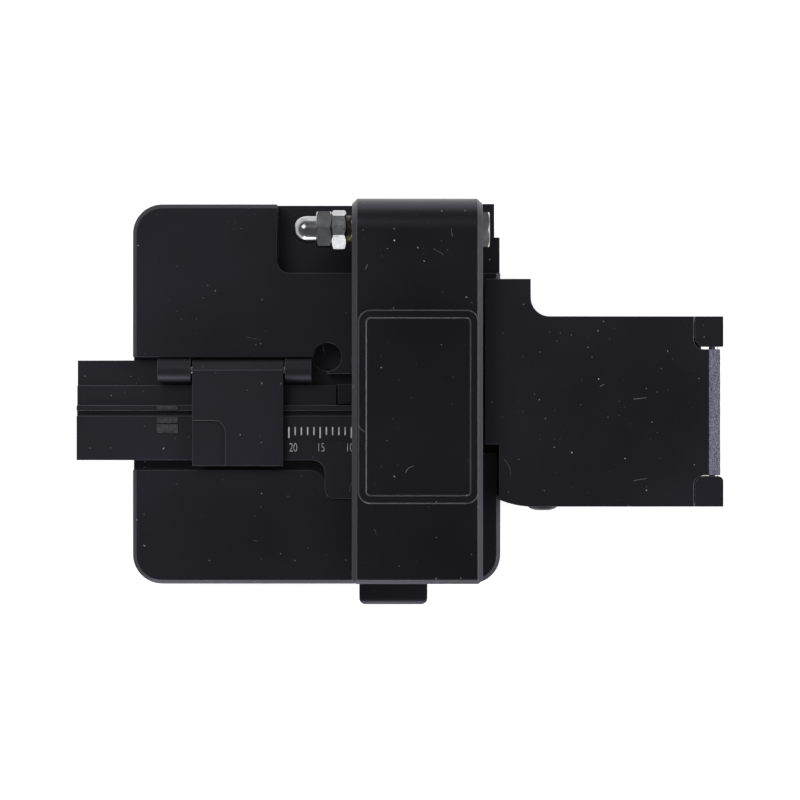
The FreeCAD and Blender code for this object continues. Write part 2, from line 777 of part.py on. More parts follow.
def make_arm():
    body = new_body("arm")
    pad(body, "YZ", [oblong("-arm_front", "hinge_y", ARM_LOW, ARM_TOP)], "-arm_left", "arm_right")
    pad(body, "YZ", [(("hinge_y", HINGE_Z), "arm_round")], "-arm_left", "arm_right")
    front_corners = [(x, "-arm_front", HINGE_Z) for x in ("-arm_left", "arm_right")]
    dress(body, "Chamfer", "arm_corner_bevel", edges_through(body.Tip.Shape, front_corners))
    dress(body, "Chamfer", "arm_side_bevel", edges_through(
        body.Tip.Shape, [(x, "hinge_y / 2", ARM_TOP) for x in ("-arm_left", "arm_right")]))
    dress(body, "Chamfer", "arm_front_bevel", edges_through(body.Tip.Shape, [("0", "-arm_front", ARM_TOP)]))
    # The slot for the hinge lug: it stays closed on top, and its two flanks meet the lug's neck at either
    # end of the arm's swing.
    flank = "(lug_neck_half + slot_gap)"
    across, up = f"{flank} * cos(open_angle * 1 deg)", f"{flank} * sin(open_angle * 1 deg)"
    slot = [
        (f"hinge_y - {flank}", HINGE_Z),
        (f"hinge_y - {flank}", f"{HINGE_Z} - slot_reach"),
        ("hinge_y + slot_reach", f"{HINGE_Z} - slot_reach"),
        ("hinge_y + slot_reach", f"{HINGE_Z} + {up} - (slot_reach - {across}) / tan(open_angle * 1 deg)"),
        (f"hinge_y + {across}", f"{HINGE_Z} + {up}"),
    ]
    pocket(body, "YZ", [slot], SLOT_LOW, SLOT_HIGH)
    pocket(body, "YZ", [(("hinge_y", HINGE_Z), "lug_round + slot_gap")], SLOT_LOW, SLOT_HIGH)
    axis = ("hinge_y", HINGE_Z)
    pocket(body, "YZ", [(axis, "bolt_radius + running_gap")], "-arm_left - 1", "arm_right + 1")
    pocket(body, "YZ", [(axis, "bolt_pocket_radius")], f"{HEAD_SEAT} - hinge_side_gap", "arm_right + 1")
    pocket(body, "XY", [oblong("-arm_cavity_half_x", "arm_cavity_half_x", "-arm_cavity_half_y",
                               "arm_cavity_half_y")], f"{ARM_LOW} - 1", ARM_CAVITY)
    magnet_hole = (("keeper_x", "-keeper_y"), "magnet_radius")
    pocket(body, "XY", [magnet_hole], f"{ARM_LOW} - 1", f"{ARM_LOW} + magnet_tall")
    return keep(body, "arm")


def make_arm_panel():
    """The thin plate on the arm: a raised rim around a sunken middle."""
    body = new_body("arm_top_plate")
    x, y = "panel_centre_x", "panel_centre_y"
    top = f"{ARM_TOP} + panel_thick"
    pad(body, "XY", [oblong(f"{x} - panel_wide / 2", f"{x} + panel_wide / 2", f"{y} - panel_long / 2",
                            f"{y} + panel_long / 2")], ARM_TOP, top)
    middle = f"{ARM_TOP} + panel_thick / 2"
    corners = [(f"{x} + {side} * panel_wide / 2", f"{y} + {end} * panel_long / 2", middle)
               for side in (-1, 1) for end in (-1, 1)]
    round_corners(body, "panel_round", corners)
    wide, deep = "(panel_wide / 2 - panel_rim)", "(panel_long / 2 - panel_rim)"
    pocket(body, "XY", [oblong(f"{x} - {wide}", f"{x} + {wide}", f"{y} - {deep}", f"{y} + {deep}")],
           f"{top} - panel_sink", top)
    corners = [(f"{x} + {side} * {wide}", f"{y} + {end} * {deep}", f"{top} - panel_sink / 2")
               for side in (-1, 1) for end in (-1, 1)]
    round_corners(body, "panel_inner_round", corners)
    return keep(body, "arm_top_plate")


def make_upper_clamps():
    pad_low = f"{FIBRE} + pad_gap"
    pad_high = f"({FIBRE} + pad_gap + pad_thick)"
    half = "clamp_pad_half_y"
    for side, left, right in (("left", "-holder_outer", "-clamp_inner"), ("right", "clamp_inner", "holder_outer")):
        name = f"upper_clamp_{side}"
        keep(block(name, (left, "-holder_half_y", pad_high), (right, "holder_half_y", ARM_CAVITY)), name)
        name = f"upper_pad_{side}"
        keep(block(name, (left, f"-{half}", pad_low), (right, half, pad_high)), name)


def make_anvil():
    """A narrow block that ends in a rounded nose above the blade's path."""
    body = new_body("anvil")
    low = f"{FIBRE} + anvil_rise"
    pad(body, "YZ", [[("-anvil_half_y", ARM_CAVITY), ("-anvil_half_y", f"{low} + anvil_half_y"),
                      ("-anvil_nose_half", low), ("anvil_nose_half", low),
                      ("anvil_half_y", f"{low} + anvil_half_y"), ("anvil_half_y", ARM_CAVITY)]],
        "-anvil_half_x", "anvil_half_x")
    return keep(body, "anvil")


make_arm()
make_arm_panel()
make_upper_clamps()
make_anvil()
keep(rod("closing_magnet", "Z", ("keeper_x", "-keeper_y", ARM_LOW), "magnet_radius", "magnet_tall"),
     "closing_magnet")


# --- Fibre plate, its flap and hinge ---

PLATE_TOP = f"({TABLE} + plate_rise)"
LEDGE_TOP = f"({PLATE_TOP} - plate_ledge_drop)"
SHELF_TOP = f"({PLATE_TOP} - plate_shelf_drop)"
FLAP_LOW = f"({PLATE_TOP} + flap_gap)"
FLAP_TOP = f"({FLAP_LOW} + flap_thick)"
FLAP_AXIS_Z = f"({FLAP_TOP} - knuckle_round)"


def make_fibre_plate():
    body = new_body("fibre_plate")
    section = [
        ("-plate_front", CHANNEL),
        ("plate_rear", CHANNEL),
        ("plate_rear", LEDGE_TOP),
        ("plate_ledge_y", LEDGE_TOP),
        ("plate_ledge_y", SHELF_TOP),
        ("plate_shelf_y", SHELF_TOP),
        ("plate_shelf_y", PLATE_TOP),
        ("groove_rear", PLATE_TOP),
        ("groove_rear", f"{PLATE_TOP} - groove_deep"),
        ("-groove_front", f"{PLATE_TOP} - groove_deep"),
        ("-groove_front", PLATE_TOP),
        ("-plate_front", PLATE_TOP),
    ]
    pad(body, "YZ", [section], "-plate_left", "-plate_right")
    # The low rear steps stop short, clear of the corner relief and of the clamp's step.
    shelf_end = "-clamp_step - clamp_step_gap"
    short = [("-knuckle_right", "plate_ledge_y"), (shelf_end, "plate_ledge_y"), (shelf_end, "plate_shelf_y"),
             ("-plate_right + 1", "plate_shelf_y"), ("-plate_right + 1", "plate_rear + 1"),
             ("-knuckle_right", "plate_rear + 1")]
    pocket(body, "XY", [short], CHANNEL, SHELF_TOP)
    foot = [
        ("-foot_left", "-foot_front"),
        ("-foot_right", "-foot_front"),
        ("-foot_right", "-plate_front"),
        ("-plate_right", "-plate_front"),
        ("-plate_right", "-plate_front + foot_lap"),
        ("-foot_left", "-plate_front + foot_lap"),
    ]
    pad(body, "XY", [foot], TABLE, PLATE_TOP)
    middle = f"{TABLE} + plate_rise / 2"
    round_corners(body, "foot_hollow_round", [("-foot_left", "-plate_front", middle)])
    round_corners(body, "foot_round", [("-foot_left", "-foot_front", middle)])
    spots = [SCREW_SPOTS["foot"], SCREW_SPOTS["shelf"]]
    pocket(body, "XY", [(spot, "small_screw") for spot in spots], CHANNEL, PLATE_TOP)
    for low, high in KNUCKLES:
        pad(body, "YZ", [oblong("flap_axis_y - knuckle_round", "flap_axis_y + knuckle_round", LEDGE_TOP,
                                FLAP_AXIS_Z)], low, high)
        pad(body, "YZ", [(("flap_axis_y", FLAP_AXIS_Z), "knuckle_round")], low, high)
        pocket(body, "YZ", [(("flap_axis_y", FLAP_AXIS_Z), "flap_pin_radius")], low, high)
    return keep(body, "fibre_plate")


KNUCKLES = [("-knuckle_left", "-flap_left - knuckle_gap"), ("-flap_right + knuckle_gap", "-knuckle_right")]


def make_flap():
    body = new_body("flap")
    pad(body, "XY", [oblong("-flap_left", "-flap_right", "-flap_front", "flap_axis_y")], FLAP_LOW, FLAP_TOP)
    pad(body, "YZ", [(("flap_axis_y", FLAP_AXIS_Z), "flap_rear - flap_axis_y")], "-flap_left", "-flap_right")
    pocket(body, "YZ", [(("flap_axis_y", FLAP_AXIS_Z), "flap_pin_radius + running_gap")],
           "-flap_left", "-flap_right")
    pocket(body, "XY", [oblong("-flap_left - 1", "-flap_step_x", "-flap_front - 1", "-flap_step_y")],
           f"{FLAP_TOP} - flap_step_deep", f"{FLAP_TOP} + 1")
    middle = f"{FLAP_TOP} - flap_step_deep / 2"
    round_corners(body, "flap_step_round", [("-flap_step_x", "-flap_step_y", middle)])
    pocket(body, "XY", [oblong(*FLAP_PAD)], FLAP_LOW, f"{FLAP_LOW} + flap_pad_sink")
    pocket(body, "XY", [(FLAP_MAGNET, "flap_magnet_radius")], FLAP_LOW, f"{FLAP_LOW} + flap_magnet_tall")
    return keep(body, "flap")


FLAP_PAD = ("-flap_left + flap_pad_inset", "-flap_right - flap_pad_inset", "-flap_pad_half", "flap_pad_half")
FLAP_MAGNET = ("-(flap_left + flap_right) / 2", "-flap_magnet_y")


def make_guide_pads():
    """Three small soft strips across the top of the plate, left of the flap."""
    strips = [block(f"guide_pad_{index}", ("-guide_pad_left", low, PLATE_TOP),
                    ("-guide_pad_right", high, f"{PLATE_TOP} + guide_pad_thick"))
              for index, (low, high) in enumerate(GUIDE_STRIPS)]
    return keep(group("guide_pads", strips), "guide_pads")


GUIDE_STRIPS = [
    ("groove_rear + guide_pad_edge", "groove_rear + guide_pad_edge + guide_pad_narrow"),
    ("-groove_front - guide_pad_edge - guide_pad_middle", "-groove_front - guide_pad_edge"),
    ("-groove_front - 2 * guide_pad_edge - guide_pad_middle - guide_pad_wide",
     "-groove_front - 2 * guide_pad_edge - guide_pad_middle"),
]

make_fibre_plate()
make_flap()
keep(block("flap_pad", (FLAP_PAD[0], FLAP_PAD[2], f"{FLAP_LOW} - flap_pad_proud"),
           (FLAP_PAD[1], FLAP_PAD[3], f"{FLAP_LOW} + flap_pad_sink")), "flap_pad")
keep(rod("flap_magnet", "Z", (*FLAP_MAGNET, FLAP_LOW), "flap_magnet_radius", "flap_magnet_tall"),
     "flap_magnet")
keep(rod("flap_hinge_pin", "X", ("-knuckle_left", "flap_axis_y", FLAP_AXIS_Z), "flap_pin_radius",
         "knuckle_left - knuckle_right"), "flap_hinge_pin")
plate_seats = [(*SCREW_SPOTS["foot"], PLATE_TOP), (*SCREW_SPOTS["shelf"], SHELF_TOP)]
screw_group("fibre_plate_screws", "Z", plate_seats, 1, "small_screw", "clamp_screw_head",
            "clamp_screw_head_tall", "plate_screw_long", socket=False)
make_guide_pads()


# --- Slider: rail, ball carriage, block, thumb knob, blade holder and blade ---

RAIL_TOP = f"({TUNNEL_FLOOR} + rail_tall)"
CARRIAGE_TOP = f"({TUNNEL_FLOOR} + carriage_top)"
BLOCK_TOP = f"({CARRIAGE_TOP} + block_foot)"
HOLDER_LOW = f"({BLOCK_TOP} + holder_gap)"
PIVOT_Y = "(blade_y + pivot_back)"
PIVOT_Z = f"({HOLDER_LOW} + pivot_up)"
HOLDER_SCREW_Y = "(blade_y - height_screw_front)"


def make_rail():
    """A miniature rail with a ball groove down each side."""
    body = new_body("slide_rail")
    half, middle = "rail_wide / 2", f"({TUNNEL_FLOOR} + rail_tall * 0.6)"
    section = [
        (f"-slide_x - {half}", TUNNEL_FLOOR),
        (f"-slide_x + {half}", TUNNEL_FLOOR),
        (f"-slide_x + {half}", f"{middle} - rail_groove"),
        (f"-slide_x + {half} - rail_groove", middle),
        (f"-slide_x + {half}", f"{middle} + rail_groove"),
        (f"-slide_x + {half}", RAIL_TOP),
        (f"-slide_x - {half}", RAIL_TOP),
        (f"-slide_x - {half}", f"{middle} + rail_groove"),
        (f"-slide_x - {half} + rail_groove", middle),
        (f"-slide_x - {half}", f"{middle} - rail_groove"),
    ]
    pad(body, "XZ", [section], "-rail_front", "rail_rear")
    pocket(body, "XY", [(("-slide_x", y), "small_screw") for y in RAIL_SPOTS], TUNNEL_FLOOR, RAIL_TOP)
    pocket(body, "XY", [(("-slide_x", y), "rail_screw_head") for y in RAIL_SPOTS],
           f"{RAIL_TOP} - rail_screw_sink", RAIL_TOP)
    return keep(body, "slide_rail")


def make_carriage():
    """The ball carriage: a bridge that wraps the top and sides of the rail."""
    body = new_body("slider_carriage")
    low = f"{TUNNEL_FLOOR} + carriage_under"
    inner, outer = "(rail_wide / 2 + slide_gap)", "carriage_wide / 2"
    section = [
        (f"-slide_x - {outer}", low),
        (f"-slide_x - {inner}", low),
        (f"-slide_x - {inner}", f"{RAIL_TOP} + slide_gap"),
        (f"-slide_x + {inner}", f"{RAIL_TOP} + slide_gap"),
        (f"-slide_x + {inner}", low),
        (f"-slide_x + {outer}", low),
        (f"-slide_x + {outer}", CARRIAGE_TOP),
        (f"-slide_x - {outer}", CARRIAGE_TOP),
    ]
    pad(body, "XZ", [section], "carriage_rear - carriage_long", "carriage_rear")
    return keep(body, "slider_carriage")


def make_slider_block():
    body = new_body("slider_block")
    section = [
        ("-block_left", CARRIAGE_TOP),
        ("block_right", CARRIAGE_TOP),
        ("block_right", BLOCK_TOP),
        ("-holder_left - holder_gap", BLOCK_TOP),
        ("-holder_left - holder_gap", f"{BLOCK_TOP} + block_wall"),
        ("-block_left", f"{BLOCK_TOP} + block_wall"),
    ]
    pad(body, "XZ", [section], "-block_front", "block_rear")
    dress(body, "Chamfer", "block_bevel", edges_at_level(body.Tip.Shape, 2, f"{BLOCK_TOP} + block_wall"))
    pocket(body, "YZ", [((PIVOT_Y, PIVOT_Z), "pivot_radius")], "-block_left", "-holder_left - holder_gap")
    pocket(body, "XY", [((HOLDER_SCREW_X, HOLDER_SCREW_Y), "height_screw_radius")], CARRIAGE_TOP, BLOCK_TOP)
    pocket(body, "XZ", [(KNOB_AXIS, "bolt_radius")], "-block_front", "-block_front + knob_screw_hole")
    return keep(body, "slider_block")


KNOB_AXIS = ("-(knob_left - knob_right) / 2", f"{CARRIAGE_TOP} + block_foot / 2 + knob_screw_up")
HOLDER_SCREW_X = "-(holder_left + holder_right) / 2"
KNOB_FACE = "(-base_front - knob_gap)"
KNOB_LOW = f"({TUNNEL_FLOOR} + knob_up)"


def make_knob():
    body = new_body("slider_knob")
    pad(body, "XZ", [oblong("-knob_left", "knob_right", KNOB_LOW, f"{KNOB_LOW} + knob_tall")],
        "-knob_front", KNOB_FACE)
    dress(body, "Fillet", "knob_edge", edges_at_level(body.Tip.Shape, 1, "-knob_front"))
    x, z = KNOB_AXIS
    pad(body, "XZ", [oblong(f"{x} - knob_neck_half", f"{x} + knob_neck_half", CARRIAGE_TOP,
                            f"{BLOCK_TOP} + knob_neck_rise")], KNOB_FACE, "-block_front")
    pocket(body, "XZ", [(KNOB_AXIS, "bolt_radius")], "-knob_front - 1", "-block_front")
    pocket(body, "XZ", [(KNOB_AXIS, "knob_screw_head")], "-knob_front - 1", "-knob_front + knob_screw_sink")
    return keep(body, "slider_knob")


def make_blade_holder():
    """A lever that carries the blade; it tilts on its rear pin to set the blade's height."""
    body = new_body("blade_holder")
    outline = [
        ("blade_y - holder_front", HOLDER_LOW),
        (f"{PIVOT_Y} + holder_end", HOLDER_LOW),
        (f"{PIVOT_Y} + holder_end", f"{PIVOT_Z} + holder_end"),
        ("blade_y + spindle_boss", f"{BLADE_Z} + holder_rise"),
        ("blade_y - spindle_boss", f"{BLADE_Z} + holder_rise"),
        ("blade_y - holder_front", f"{PIVOT_Z} + holder_end"),
    ]
    pad(body, "YZ", [outline], "-holder_left", "-holder_right")
    pocket(body, "YZ", [((PIVOT_Y, PIVOT_Z), "pivot_radius + running_gap")], "-holder_left", "-holder_right")
    pocket(body, "YZ", [(("blade_y", BLADE_Z), "blade_screw_radius")], "-holder_left", "-holder_right")
    return keep(body, "blade_holder")


def make_blade():
    """A thin disc with both faces ground to an edge at the rim."""
    half, ground = "blade_thick / 2", "(blade_radius - blade_ground)"
    bore = "blade_bore"
    profile = [
        (f"-{half}", bore), (f"-{half}", ground), (f"-{half} * 0.1", "blade_radius"),
        (f"{half} * 0.1", "blade_radius"), (half, ground), (half, bore),
    ]
    return keep(turned("blade", "X", ("0", "blade_y", BLADE_Z), profile), "blade")


def make_spindle():
    """The flanged sleeve the blade turns on, and the screw that holds both to the holder."""
    half, gap = "blade_thick / 2", "running_gap"
    bore = "blade_screw_radius"
    profile = [
        ("-holder_right", bore), ("-holder_right", "spindle_flange"), (f"-{half} - {gap}", "spindle_flange"),
        (f"-{half} - {gap}", f"blade_bore - {gap}"), (f"{half} + {gap}", f"blade_bore - {gap}"),
        (f"{half} + {gap}", bore),
    ]
    keep(turned("blade_spindle", "X", ("0", "blade_y", BLADE_Z), profile), "blade_spindle")
    screw = cap_screw("blade_screw", "X", (f"{half} + {gap}", "blade_y", BLADE_Z), 1, "blade_screw_radius",
                      "blade_screw_head", "blade_screw_tall", f"{half} + {gap} + holder_left")
    keep(screw, "blade_screw")


make_rail()
screw_group("rail_screws", "Z", [("-slide_x", y, f"{RAIL_TOP} - rail_screw_sink") for y in RAIL_SPOTS], 1,
            "small_screw", "rail_screw_head", "rail_screw_sink",
            f"rail_tall - rail_screw_sink + {RAIL_SCREW_DEEP}", socket=False)
make_carriage()
make_slider_block()
make_knob()
screw_group("knob_screw", "Y", [(KNOB_AXIS[0], "-knob_front + knob_screw_sink", KNOB_AXIS[1])], -1,
            "bolt_radius", "knob_screw_head", "knob_screw_sink - 0.3",
            "knob_front - knob_screw_sink - block_front + knob_screw_hole")
make_blade_holder()
keep(rod("holder_pivot_pin", "X", ("-block_left", PIVOT_Y, PIVOT_Z), "pivot_radius",
         "block_left - holder_right"), "holder_pivot_pin")
keep(rod("height_screw", "Z", (HOLDER_SCREW_X, HOLDER_SCREW_Y, CARRIAGE_TOP), "height_screw_radius",
         "block_foot"), "height_screw")
make_blade()
make_spindle()


# --- Scrap collector: case, cover and rollers ---

COVER_PIN_Z = f"({COVER_TOP} - cover_pin_drop)"
FEED_Z = f"({FIBRE} - feed_radius)"
PINCH_Z = f"({FIBRE} + pinch_gap + pinch_radius)"
ROUND_MIDDLE_X = "(base_right + corner_reach)"
ROLLER_X = "(base_right + roller_out)"
BIN_LEFT = "(base_right + bin_out)"
COVER_LEFT = "(base_right - cover_lap)"
TAB_RIGHT = "(base_right + tab_out)"
EAR_LEFT = f"({CASE_END} - ear_lap)"
EAR_RIGHT = f"({EAR_LEFT} + ear_long)"
COVER_PIN_X = f"({CASE_END} + cover_pin_out)"
COVER_BEVEL_X = f"({CASE_END} + cover_bevel_out)"
COVER_END = f"({CASE_END} + cover_end_out)"
REAR_EAR = ("cover_rear - ear_wide", "cover_rear")
FRONT_EAR = ("-cover_front", "-cover_front + ear_wide")


def make_case():
    """An open-topped box with a roller chamber at the base's side and two hinge ears at the far end."""
    body = new_body("collector_case")
    pad(body, "XY", [oblong(f"{ROUND_MIDDLE_X} - case_corner_round", CASE_END, "-case_front", "case_rear")],
        CASE_LOW, CASE_TOP)
    middle = f"({CASE_LOW} + {CASE_TOP}) / 2"
    start = f"{ROUND_MIDDLE_X} - case_corner_round"
    round_corners(body, "case_corner_round", [(start, "-case_front", middle)])
    pocket(body, "XY", [oblong(f"{ROUND_MIDDLE_X} - case_corner_round - 1", CASE_LEFT, "-case_front - 1",
                               "case_rear + 1")], CASE_LOW, CASE_TOP)
    ear = [
        (f"{CASE_END} - case_wall", f"{COVER_PIN_Z} - ear_deep - ear_reach"),
        (EAR_RIGHT, f"{COVER_PIN_Z} - ear_deep"),
        (EAR_RIGHT, COVER_TOP),
        (EAR_LEFT, COVER_TOP),
        (EAR_LEFT, f"{CASE_TOP} - 0.5"),
        (f"{CASE_END} - case_wall", f"{CASE_TOP} - 0.5"),
    ]
    for front, rear in (REAR_EAR, FRONT_EAR):
        pad(body, "XZ", [ear], front, rear)
        inner = front if front == REAR_EAR[0] else rear
        near_top = f"{COVER_TOP} - 0.2"
        round_corners(body, "ear_round", [(EAR_LEFT, inner, near_top)])
        if inner == FRONT_EAR[1]:
            round_corners(body, "ear_outer_round", [(EAR_RIGHT, inner, near_top)])
    pocket(body, "XY", [oblong(BIN_LEFT, f"{CASE_END} - case_wall", "-case_front + case_wall",
                               "case_rear - case_wall")], f"{CASE_LOW} + case_wall", f"{CASE_TOP} + 0.01")
    corners = [(x, y, middle) for x in (BIN_LEFT, f"{CASE_END} - case_wall")
               for y in ("-case_front + case_wall", "case_rear - case_wall")]
    round_corners(body, "bin_round", corners)
    pocket(body, "XY", [oblong(f"{ROLLER_X} - feed_radius - chamber_gap", f"{BIN_LEFT} + bin_round",
                               "-feed_half - chamber_gap", "feed_half + chamber_gap")],
           f"{FEED_Z} - feed_radius - chamber_gap", CASE_TOP)
    pocket(body, "XY", [oblong("base_right - 1", ROLLER_X, "-entry_half", "entry_half")],
           f"{FIBRE} - entry_drop", CASE_TOP)
    pocket(body, "XZ", [((ROLLER_X, FEED_Z), "feed_axle_radius")], "-case_front - 1", "case_rear - case_wall")
    pocket(body, "XZ", [((COVER_PIN_X, COVER_PIN_Z), "cover_pin_radius")], "-cover_front - 1", "cover_rear + 1")
    pocket(body, "YZ", [(spot, "case_screw") for spot in CASE_SPOTS], CASE_LEFT, f"{BIN_LEFT} + 1")
    pocket(body, "YZ", [(spot, "case_screw_head") for spot in CASE_SPOTS], f"{CASE_LEFT} + case_screw_wall",
           f"{BIN_LEFT} + 1")
    return keep(body, "collector_case")


def make_cover():
    """The flat cover: a tab towards the rear, a notch for each hinge ear, and the hinge barrel between."""
    body = new_body("collector_cover")
    start = f"{ROUND_MIDDLE_X} - cover_corner_round"
    pad(body, "XY", [oblong(start, COVER_BEVEL_X, "-cover_front", "cover_rear")], COVER_LOW, COVER_TOP)
    middle = f"{COVER_LOW} + cover_thick / 2"
    round_corners(body, "cover_corner_round", [(start, "-cover_front", middle)])
    pocket(body, "XY", [[(f"{start} - 1", "-cover_front - 1"), ("base_right - cover_step_lap", "-cover_front - 1"),
                         ("base_right - cover_step_lap", "-cover_step_y"), (COVER_LEFT, "-cover_step_y"),
                         (COVER_LEFT, "cover_rear + 1"), (f"{start} - 1", "cover_rear + 1")]],
           COVER_LOW, COVER_TOP)
    pad(body, "XY", [oblong(COVER_LEFT, TAB_RIGHT, "cover_rear - 1", "tab_rear")], COVER_LOW, COVER_TOP)
    round_corners(body, "tab_round", [(TAB_RIGHT, "cover_rear", middle)])
    undercut = [
        (f"{EAR_LEFT} - ear_line", f"{COVER_TOP} + 1"),
        (f"{EAR_LEFT} - ear_line", COVER_TOP),
        (f"{EAR_LEFT} - ear_line - ear_undercut", COVER_LOW),
        (f"{EAR_LEFT} - ear_line - ear_undercut", f"{COVER_LOW} - 1"),
        (f"{EAR_RIGHT} + 1", f"{COVER_LOW} - 1"),
        (f"{EAR_RIGHT} + 1", f"{COVER_TOP} + 1"),
    ]
    pocket(body, "XZ", [undercut], f"{REAR_EAR[0]} - ear_gap", "cover_rear + 1")
    pocket(body, "XZ", [undercut], "-cover_front - 1", f"{FRONT_EAR[1]} + ear_line")
    slope = f"{EAR_LEFT} - ear_line - ear_undercut / 2"
    round_corners(body, "ear_round", [(slope, f"{REAR_EAR[0]} - ear_gap", middle),
                                      (slope, f"{FRONT_EAR[1]} + ear_line", middle)])
    barrel_front, barrel_rear = f"{FRONT_EAR[1]} + ear_line", f"{REAR_EAR[0]} - ear_gap"
    barrel = [
        (f"{COVER_BEVEL_X} - 3", COVER_TOP),
        (f"{COVER_BEVEL_X} - 3", COVER_LOW),
        (f"{COVER_PIN_X} - barrel_reach", COVER_LOW),
        (f"{COVER_PIN_X} - barrel_reach", COVER_PIN_Z),
        (f"{COVER_PIN_X} - barrel_foot", f"{COVER_PIN_Z} - barrel_drop"),
        (f"{COVER_PIN_X} + barrel_foot", f"{COVER_PIN_Z} - barrel_drop"),
        (COVER_END, f"{COVER_PIN_Z} - barrel_foot"),
        (COVER_END, f"{COVER_PIN_Z} + barrel_foot"),
        (COVER_BEVEL_X, COVER_TOP),
    ]
    pad(body, "XZ", [barrel], barrel_front, barrel_rear)
    pocket(body, "XZ", [((COVER_PIN_X, COVER_PIN_Z), "cover_pin_radius + running_gap")], barrel_front,
           barrel_rear)
    lug = [
        (f"{ROLLER_X} - pinch_lug_half", COVER_LOW),
        (f"{ROLLER_X} - pinch_lug_half", PINCH_Z),
        (f"{ROLLER_X} - pinch_lug_half / 2", f"{PINCH_Z} - pinch_lug_drop"),
        (f"{ROLLER_X} + pinch_lug_half / 2", f"{PINCH_Z} - pinch_lug_drop"),
        (f"{ROLLER_X} + pinch_lug_half", PINCH_Z),
        (f"{ROLLER_X} + pinch_lug_half", COVER_LOW),
    ]
    for front, rear in (("-pinch_half - pinch_lug_wide", "-pinch_half - pinch_side_gap"),
                        ("pinch_half + pinch_side_gap", "pinch_half + pinch_lug_wide")):
        pad(body, "XZ", [lug], front, rear)
        pocket(body, "XZ", [((ROLLER_X, PINCH_Z), "pinch_axle_radius")], front, rear)
    return keep(body, "collector_cover")


def make_roller(label, centre_z, radius, half, bore):
    """A plain roller with a bore for its axle."""
    profile = [(f"-{half}", bore), (f"-{half}", radius), (half, radius), (half, bore)]
    return keep(turned(label, "Y", (ROLLER_X, "0", centre_z), profile), label)


def make_feed_axle():
    """A shoulder screw with a low domed head at the front of the case."""
    seat = "-case_front"
    head = [
        (seat, "0"), (seat, "axle_head_radius"),
        (f"{seat} - axle_head_tall * 0.45", "axle_head_radius * 0.93"),
        (f"{seat} - axle_head_tall * 0.8", "axle_head_radius * 0.72"),
        (f"{seat} - axle_head_tall", "axle_head_radius * 0.42"), (f"{seat} - axle_head_tall", "0"),
    ]
    dome = turned("axle_head", "Y", (ROLLER_X, "0", FEED_Z), head)
    socket = hexagon("axle_socket", "Y", (ROLLER_X, "-case_front - axle_head_tall", FEED_Z), "2",
                     "axle_head_tall * 0.7")
    shank = rod("axle_shank", "Y", (ROLLER_X, seat, FEED_Z), "feed_axle_radius",
                "case_front + case_rear - case_wall")
    keep(less("feed_roller_axle", joined("axle_whole", [dome, shank]), socket), "feed_roller_axle")


make_case()
make_cover()
screw_group("collector_screws", "X", [(f"{CASE_LEFT} + case_screw_wall", y, z) for y, z in CASE_SPOTS], 1,
            "case_screw", "case_screw_head", "case_screw_head_tall",
            "case_screw_wall + case_gap + case_screw_hole")
keep(rod("cover_hinge_pin", "Y", (COVER_PIN_X, "-cover_front + pin_inset", COVER_PIN_Z), "cover_pin_radius",
         "cover_front + cover_rear - 2 * pin_inset"), "cover_hinge_pin")
make_feed_axle()
make_roller("feed_roller", FEED_Z, "feed_radius", "feed_half", "feed_axle_radius + running_gap")
make_roller("pinch_roller", PINCH_Z, "pinch_radius", "pinch_half", "pinch_axle_radius + running_gap")
keep(rod("pinch_axle", "Y", (ROLLER_X, "-pinch_half - pinch_lug_wide", PINCH_Z), "pinch_axle_radius",
         "2 * (pinch_half + pinch_lug_wide)"), "pinch_axle")


def write_parts():
    """Check every object, then write each sub-part to its own file."""
    doc.recompute()
    faults = [item.Name for item in doc.Objects if "Invalid" in item.State or "Error" in item.State]
    if faults:
        raise RuntimeError(f"failed objects: {faults}")
    for item in nodes:
        if item.Shape.isNull() or not item.Shape.isValid():
            raise RuntimeError(f"bad shape: {item.Label}")
    os.makedirs("parts", exist_ok=True)
    for item in nodes:
        item.Shape.exportStep(f"parts/{item.Label}.step")
        print(item.Label, len(item.Shape.Solids), round(item.Shape.Volume, 1))


write_parts()
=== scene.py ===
import bmesh
import bpy
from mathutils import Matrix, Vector


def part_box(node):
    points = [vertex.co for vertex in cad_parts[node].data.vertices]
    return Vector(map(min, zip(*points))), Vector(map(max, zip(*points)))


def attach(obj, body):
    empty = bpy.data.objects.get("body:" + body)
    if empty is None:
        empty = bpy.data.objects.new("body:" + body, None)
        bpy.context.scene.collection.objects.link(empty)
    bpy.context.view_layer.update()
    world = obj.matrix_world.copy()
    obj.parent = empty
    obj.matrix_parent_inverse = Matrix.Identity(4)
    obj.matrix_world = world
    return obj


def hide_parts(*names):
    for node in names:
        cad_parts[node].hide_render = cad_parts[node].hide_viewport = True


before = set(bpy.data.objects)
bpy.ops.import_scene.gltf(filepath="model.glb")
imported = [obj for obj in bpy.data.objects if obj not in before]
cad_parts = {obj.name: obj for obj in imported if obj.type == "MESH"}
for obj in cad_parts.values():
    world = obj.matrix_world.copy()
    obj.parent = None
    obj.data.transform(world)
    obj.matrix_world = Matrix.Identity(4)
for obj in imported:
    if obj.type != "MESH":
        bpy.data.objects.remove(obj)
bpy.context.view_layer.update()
bpy.ops.object.select_all(action="DESELECT")

mm = 0.001
tiny = 0.01 * mm
nodes = {name: bpy.data.objects[name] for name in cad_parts}
print("stage: frame loaded")


# camera straight above the table

cameraValues = {"centre": (-2.2, 2.17, 38.1), "distance": 650.0, "width": 128.6, "sensor": 36.0}

